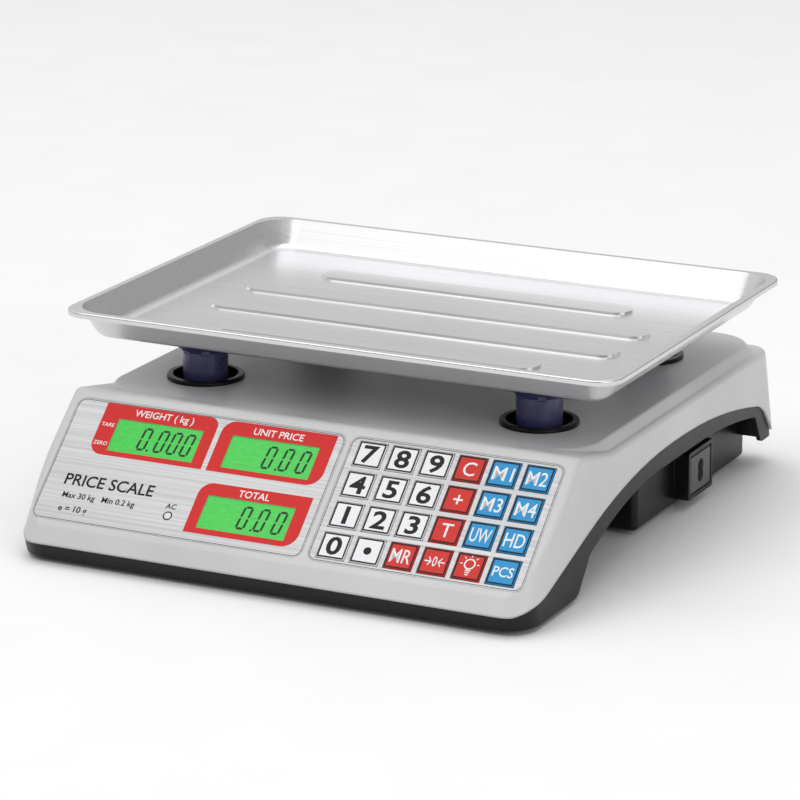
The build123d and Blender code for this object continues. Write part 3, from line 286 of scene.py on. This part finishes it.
def rounded(left, right, low, high, radii, steps=8):
    """Corners of a rectangle with its own radius at top left, top right, low right and low left."""
    ring = []
    centres = (
        (left, high, 1, -1, radii[0], 180),
        (right, high, -1, -1, radii[1], 90),
        (right, low, -1, 1, radii[2], 0),
        (left, low, 1, 1, radii[3], -90),
    )
    for x, y, inward_x, inward_y, radius, start in centres:
        for i in range(steps + 1):
            angle = math.radians(start - 90 * i / steps)
            ring.append((
                x + inward_x * radius + radius * math.cos(angle),
                y + inward_y * radius + radius * math.sin(angle),
            ))
    return ring


def band(left, right, low, high, radii, width):
    """A frame of even width along the inside of a rounded rectangle."""
    inner = [max(radius - width, 0.0) for radius in radii]
    return (
        rounded(left, right, low, high, radii),
        rounded(left + width, right - width, low + width, high - width, inner),
    )


def disc(u, v, radius, hole=0.0, steps=28):
    turns = [2 * math.pi * i / steps for i in range(steps)]
    outer = [(u + radius * math.cos(a), v + radius * math.sin(a)) for a in turns]
    inner = [(u + hole * math.cos(a), v + hole * math.sin(a)) for a in turns]
    return outer, inner if hole else None


def text_piece(name, words, face, u, v, height, size, material, body, stretch=1.0, bold=0.0, room=1.0):
    """Generic printed characters, centred on a place, as a thin mesh."""
    curve = bpy.data.curves.new(name + "_curve", "FONT")
    curve.body = words
    curve.size = size
    curve.align_x = "CENTER"
    curve.align_y = "CENTER"
    curve.extrude = 0.00002
    curve.offset = bold
    curve.resolution_u = 3
    holder = bpy.data.objects.new(name + "_text", curve)
    bpy.context.scene.collection.objects.link(holder)
    mesh = bpy.data.meshes.new_from_object(holder)
    bpy.data.objects.remove(holder)
    mesh.name = name
    middle_x = (min(p.co.x for p in mesh.vertices) + max(p.co.x for p in mesh.vertices)) / 2
    middle_y = (min(p.co.y for p in mesh.vertices) + max(p.co.y for p in mesh.vertices)) / 2
    widest = max(p.co.x for p in mesh.vertices) - middle_x
    stretch = min(stretch, room / (2 * widest))
    for vertex in mesh.vertices:
        x = (vertex.co.x - middle_x) * stretch
        vertex.co = face.world(u + x, v + vertex.co.y - middle_y, height + vertex.co.z)
    mesh.materials.clear()
    mesh.materials.append(material)
    piece = bpy.data.objects.new(name, mesh)
    bpy.context.scene.collection.objects.link(piece)
    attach(piece, body)
    return piece


# ---------------------------------------------------------------------------------------------------
# Key legends and outlines
# ---------------------------------------------------------------------------------------------------

INK = 0.00003
legends = {
    "7": "7", "8": "8", "9": "9", "4": "4", "5": "5", "6": "6", "1": "1", "2": "2", "3": "3", "0": "0",
    "m1": "M1", "m2": "M2", "m3": "M3", "m4": "M4", "clear": "C", "add": "+", "tare": "T",
    "store": "MR", "zero": "→0←", "unit_weight": "UW", "steady": "HD", "count": "PCS",
}
OUTLINE = 0.95 * MM
for name in nodes:
    if not name.startswith("key_"):
        continue
    key = name[4:]
    left, right, low, high, height = panel.top(name)
    u, v = (left + right) / 2, (low + high) / 2
    ink_mesh(
        f"outline_{key}", panel, height, INK,
        [band(left, right, low, high, (0.7 * MM,) * 4, OUTLINE)], INK_BLACK, name,
    )
    dark = slot_of[name] == "key_white"
    ink = INK_BLACK if dark else INK_WHITE
    if key in legends:
        size, stretch, bold = (15.0 * MM, 1.2, 0.38 * MM) if dark else (12.2 * MM, 0.95, 0.05 * MM)
        if len(legends[key]) > 2:
            size, bold = 8.6 * MM, 0.06 * MM
        text_piece(
            f"legend_{key}", legends[key], panel, u, v, height + INK, size, ink, name, stretch, bold,
            11.8 * MM,
        )
    elif key == "dot":
        ink_mesh("legend_dot", panel, height, INK, [disc(u, v, 2.3 * MM)], ink, name)
    elif key == "light":
        bulb = [disc(u, v + 1.6 * MM, 3.3 * MM, 2.5 * MM)]
        for step in range(3):
            y = v - (2.6 + 1.3 * step) * MM
            reach = (1.6 - 0.3 * step) * MM
            bulb.append((rounded(u - reach, u + reach, y, y + 0.7 * MM, (0.3 * MM,) * 4, 3), None))
        for turn in range(5):
            angle = math.radians(turn * 45)
            ray = Vector((math.cos(angle), math.sin(angle)))
            side = Vector((-ray.y, ray.x)) * 0.3 * MM
            start = Vector((u, v + 1.6 * MM)) + ray * 4.2 * MM
            end = start + ray * 1.4 * MM
            corners = (start - side, end - side, end + side, start + side)
            bulb.append(([tuple(corner) for corner in corners], None))
        ink_mesh("legend_light", panel, height, INK, bulb, ink, name)

label_face = panel.top("display_label")[4]

# ---------------------------------------------------------------------------------------------------
# Label edges, display frames and display digits
# ---------------------------------------------------------------------------------------------------

EDGE = 0.5 * MM
EDGE_LINE = 0.35 * MM
LABEL_CORNER = 4.6 * MM
for name in ("keypad_label", "display_label"):
    left, right, low, high, height = panel.top(name)
    ink_mesh(
        f"edge_{name}", panel, height, INK,
        [band(left + EDGE, right - EDGE, low + EDGE, high - EDGE, (LABEL_CORNER,) * 4, EDGE_LINE)],
        INK_BLACK, "base",
    )

SEGMENTS = {
    "0": "abcdef", "1": "bc", "2": "abged", "3": "abgcd", "4": "fgbc", "5": "afgcd",
    "6": "afgedc", "7": "abc", "8": "abcdefg", "9": "abcfgd",
}


def digit_outlines(u, v, width, tall, lean, shown):
    """The bars of one leaning seven-segment digit."""
    thick = 0.095 * tall
    half_thick = thick / 2
    gap = 0.12 * thick
    half = tall / 2
    flat = {"a": half - half_thick, "g": 0.0, "d": half_thick - half}
    upright = {"f": (0, 1), "b": (1, 1), "e": (0, -1), "c": (1, -1)}
    shapes = []
    for name, middle in flat.items():
        if name in shown:
            left, right = half_thick + gap, width - half_thick - gap
            shapes.append([
                (left, middle), (left + half_thick, middle + half_thick),
                (right - half_thick, middle + half_thick), (right, middle),
                (right - half_thick, middle - half_thick), (left + half_thick, middle - half_thick),
            ])
    for name, (side, up) in upright.items():
        if name in shown:
            middle = half_thick + side * (width - thick)
            low, high = sorted((up * gap, up * (half - half_thick - gap)))
            shapes.append([
                (middle, low), (middle + half_thick, low + half_thick),
                (middle + half_thick, high - half_thick), (middle, high),
                (middle - half_thick, high - half_thick), (middle - half_thick, low + half_thick),
            ])
    return [([(u + x + lean * y, v + y) for x, y in shape], None) for shape in shapes]


def display_digits(name, face, window, words, right_gap, pitch, dot_room, body="base"):
    """Right-aligned digits on a display, whose window is left, right, low, high and height."""
    left, right, low, high, height = window
    middle = (low + high) / 2
    width, tall, lean = 5.9 * MM, 14.8 * MM, 0.11
    u = right - right_gap - width
    lit = []
    for mark in reversed(words):
        if mark == ".":
            u -= dot_room
            lit.append(disc(u + pitch - 1.4 * MM, middle - tall / 2 + 0.6 * MM, 0.75 * MM))
            continue
        lit += digit_outlines(u, middle, width, tall, lean, SEGMENTS[mark])
        u -= pitch
    ink_mesh(f"digits_{name}", face, height, INK, lit, SEGMENT, body)


WINDOW_EDGE = 1.8 * MM
frames = {
    "lcd_weight": ("0.000", 8.2, 2.4, (10.8, 7.2, 9.2, 3.2), (0.3, 6.0, 0.3, 8.0), "WEIGHT ( kg )"),
    "lcd_unit_price": ("0.00", 10.4, 0.0, (7.9, 8.0, 8.9, 3.3), (8.0, 0.3, 9.0, 0.3), "UNIT PRICE"),
    "lcd_total": ("0.00", 10.6, 0.0, (6.7, 7.8, 7.7, 3.5), (8.0, 0.3, 9.0, 0.3), "TOTAL"),
}
for node, (words, pitch, dot_room, margins, radii, title) in frames.items():
    window = panel.top(node)
    display_digits(node, panel, window, words, 5.4 * MM, pitch * MM, dot_room * MM)
    left, right = window[0] + WINDOW_EDGE, window[1] - WINDOW_EDGE
    low, high = window[2] + WINDOW_EDGE, window[3] - WINDOW_EDGE
    outer = rounded(
        left - margins[0] * MM, right + margins[1] * MM, low - margins[3] * MM, high + margins[2] * MM,
        [radius * MM for radius in radii],
    )
    inner = rounded(left, right, low, high, (0.3 * MM,) * 4)
    ink_mesh(f"frame_{node}", panel, label_face, INK, [(outer, inner)], INK_RED, "base")
    text_piece(
        f"title_{node}", title, panel, (left + right) / 2, high + margins[2] * MM * 0.48, label_face + INK,
        6.0 * MM, INK_WHITE, "base", 1.0, 0.07 * MM,
    )
    if node == "lcd_weight":
        side_u = left - margins[0] * MM * 0.5
        for mark, share in (("TARE", 0.78), ("ZERO", 0.2)):
            text_piece(
                f"mark_{mark.lower()}", mark, panel, side_u, low + (high - low) * share, label_face + INK,
                3.4 * MM, INK_WHITE, "base", 1.0, 0.02 * MM,
            )

lamp_left, lamp_right, lamp_low, lamp_high, _ = panel.top("ac_lamp")
lamp_u, lamp_v = (lamp_left + lamp_right) / 2, (lamp_low + lamp_high) / 2
ink_mesh(
    "lamp_ring", panel, label_face, INK,
    [disc(lamp_u, lamp_v, 2.8 * MM, 2.0 * MM)], INK_BLACK, "base",
)
text_piece(
    "lamp_mark", "AC", panel, lamp_u, lamp_v + 6.0 * MM, label_face + INK, 4.6 * MM, INK_BLACK,
    "base", 1.0, 0.08 * MM,
)
plain_left = panel.top("display_label")[0]
for mark, words, across, above, size, bold in (
    ("kind", "PRICE SCALE", 40.0, 13.5, 10.0, 0.16),
    ("range", "Max 30 kg   Min 0.2 kg", 37.0, 3.0, 5.0, 0.08),
    ("step", "e = 10 g", 24.0, -5.5, 5.4, 0.1),
):
    text_piece(
        f"print_{mark}", words, panel, plain_left + across * MM, lamp_v + above * MM, label_face + INK,
        size * MM, INK_BLACK, "base", 1.0, bold * MM,
    )

# ---------------------------------------------------------------------------------------------------
# Rear display
# ---------------------------------------------------------------------------------------------------

# The rear window is a thin leaning sheet: its lean comes from its box and its thickness.
low_box, high_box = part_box("rear_window")
thickness = 0.5 * MM
size_y, size_z = high_box[1] - low_box[1], high_box[2] - low_box[2]
lean = math.atan2(size_y - thickness, size_z)
for _ in range(4):
    tall = (size_z - thickness * math.sin(lean)) / math.cos(lean)
    lean = math.asin((size_y - thickness * math.cos(lean)) / tall)
rear = Face(Vector((0, math.cos(lean), math.sin(lean))), Vector((-1, 0, 0)))
rear_left, rear_right, rear_bottom, rear_top, rear_face = rear.top("rear_window")
spots = [rear.local(vertex.co) for vertex in nodes["rear_lcd"].data.vertices]
lcd_face = max(spot.z for spot in spots)
edges_u = sorted({round(spot.x, 5) for spot in spots if spot.z > lcd_face - 2e-5})
glass_v = [spot.y for spot in spots if spot.z > lcd_face - 2e-5]
for index, words in enumerate(("0.000", "0.00", "0.00")):
    left, right = edges_u[2 * index], edges_u[2 * index + 1]
    window = (left, right, min(glass_v), max(glass_v), lcd_face)
    pitch, dot_room = (8.2, 2.4) if index == 0 else (10.4, 0.0)
    display_digits(f"rear_{index}", rear, window, words, 6.0 * MM, pitch * MM, dot_room * MM)
    ink_mesh(
        f"frame_rear_{index}", rear, rear_face, INK,
        [band(left + 1.1 * MM, right - 1.1 * MM, min(glass_v) + 1.1 * MM, max(glass_v) - 1.1 * MM,
              (0.7 * MM,) * 4, 0.7 * MM)],
        INK_RED, "base",
    )
ink_mesh(
    "edge_rear_window", rear, rear_face, INK,
    [band(rear_left + EDGE, rear_right - EDGE, rear_bottom + EDGE, rear_top - EDGE,
          (LABEL_CORNER,) * 4, EDGE_LINE)],
    INK_BLACK, "base",
)

# ---------------------------------------------------------------------------------------------------
# Floor, light and camera
# ---------------------------------------------------------------------------------------------------

floor_mesh = bpy.data.meshes.new("floor")
FLOOR_REACH = 9.0
floor_mesh.from_pydata(
    [(-FLOOR_REACH, -FLOOR_REACH, 0), (FLOOR_REACH, -FLOOR_REACH, 0),
     (FLOOR_REACH, FLOOR_REACH, 0), (-FLOOR_REACH, FLOOR_REACH, 0)], [], [(0, 1, 2, 3)]
)
floor = bpy.data.objects.new("floor", floor_mesh)
floor_mesh.materials.append(FLOOR)
bpy.context.scene.collection.objects.link(floor)

world = bpy.data.worlds.new("studio")
world.use_nodes = True
sky = world.node_tree
tilt = sky.nodes.new("ShaderNodeVectorMath")
tilt.operation = "DOT_PRODUCT"
tilt.inputs[1].default_value = (-0.35, 0.25, 1.0)
sky.links.new(sky.nodes.new("ShaderNodeTexCoord").outputs["Generated"], tilt.inputs[0])
sky_ramp = sky.nodes.new("ShaderNodeValToRGB")
sky_ramp.color_ramp.elements[0].color = (0.40, 0.40, 0.40, 1)
sky_ramp.color_ramp.elements[0].position = 0.34
sky_ramp.color_ramp.elements[1].color = (0.95, 0.95, 0.95, 1)
sky_ramp.color_ramp.elements[1].position = 0.86
sky.links.new(tilt.outputs["Value"], sky_ramp.inputs["Fac"])
sky.links.new(sky_ramp.outputs["Color"], sky.nodes["Background"].inputs["Color"])
sky.nodes["Background"].inputs["Strength"].default_value = 1.0
bpy.context.scene.world = world
bpy.context.scene.view_settings.view_transform = "Standard"


def area_light(name, place, target, size, power):
    light = bpy.data.lights.new(name, "AREA")
    light.shape = "RECTANGLE"
    light.size, light.size_y = size
    light.energy = power
    lamp = bpy.data.objects.new(name, light)
    lamp.location = place
    lamp.rotation_euler = (Vector(target) - Vector(place)).to_track_quat("-Z", "Y").to_euler()
    bpy.context.scene.collection.objects.link(lamp)


area_light("top_softbox", (-0.3, -0.1, 2.4), (0, 0, 0.05), (2.6, 2.4), 19)
area_light("front_softbox", (-1.0, -1.7, 2.3), (0, 0, 0.05), (1.6, 1.4), 5)
area_light("side_softbox", (2.3, -1.3, 0.9), (0, 0, 0.05), (1.6, 1.2), 13)

CAMERA_PLACE = Vector((0.97226, -1.97834, 0.71325))
CAMERA_YAW = math.radians(26.29)
CAMERA_PITCH = math.radians(16.42)
CAMERA_ROLL = math.radians(-0.116)
camera_data = bpy.data.cameras.new("camera")
camera_data.lens = 181.3
camera_data.sensor_width = 36.0
camera_data.clip_end = 50.0
camera = bpy.data.objects.new("camera", camera_data)
look = Vector((
    -math.sin(CAMERA_YAW) * math.cos(CAMERA_PITCH),
    math.cos(CAMERA_YAW) * math.cos(CAMERA_PITCH),
    -math.sin(CAMERA_PITCH),
))
turn = look.to_track_quat("-Z", "Y").to_matrix().to_4x4()
camera.matrix_world = Matrix.Translation(CAMERA_PLACE) @ turn @ Matrix.Rotation(CAMERA_ROLL, 4, "Z")
bpy.context.scene.collection.objects.link(camera)
bpy.context.scene.camera = camera

bpy.context.view_layer.update()
